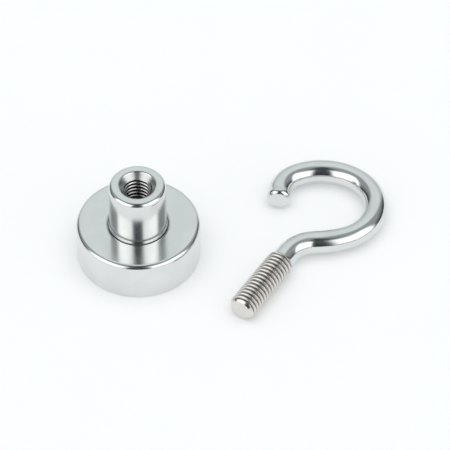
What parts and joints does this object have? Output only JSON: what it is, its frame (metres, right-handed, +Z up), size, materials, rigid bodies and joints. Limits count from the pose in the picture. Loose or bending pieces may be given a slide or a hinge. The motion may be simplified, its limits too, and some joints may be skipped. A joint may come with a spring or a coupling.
{
  "type": "magnet fishing magnet",
  "caption": "Potted disc magnet with a threaded neck, and a loose question-mark hook with a threaded shank.",
  "frame": {"origin": "middle of the magnet's working face, which lies on the surface that the object stands on", "axes": "+Z up along the neck, out of its threaded bore; +X to the right, towards the side where the loose hook lies"},
  "size_m": [0.1211, 0.0799, 0.038],
  "materials": {
    "pot_steel": "bright nickel plate on polished steel",
    "neck_steel": "bright nickel plate on turned steel",
    "magnet_plating": "satin nickel plate on sintered neodymium magnet",
    "glue": "cured epoxy film",
    "resin": "black potting resin",
    "hook_steel": "bright nickel plate on bent steel wire, rolled thread"
  },
  "bodies": {
    "magnet": {"pot": "pot_steel", "threaded_neck": "neck_steel", "magnet_disc": "magnet_plating", "glue_film": "glue", "resin_ring": "resin"},
    "hook": {"hook": "hook_steel"}
  },
  "joints": [
    {"name": "hook_swing", "type": "hinge", "parent": "magnet", "child": "hook", "pos_m": [-0.01481, -0.04533, 0.03047], "axis": [0.8591, 0.0609, 0.5081], "range_deg": [0, 110.37]}
  ]
}
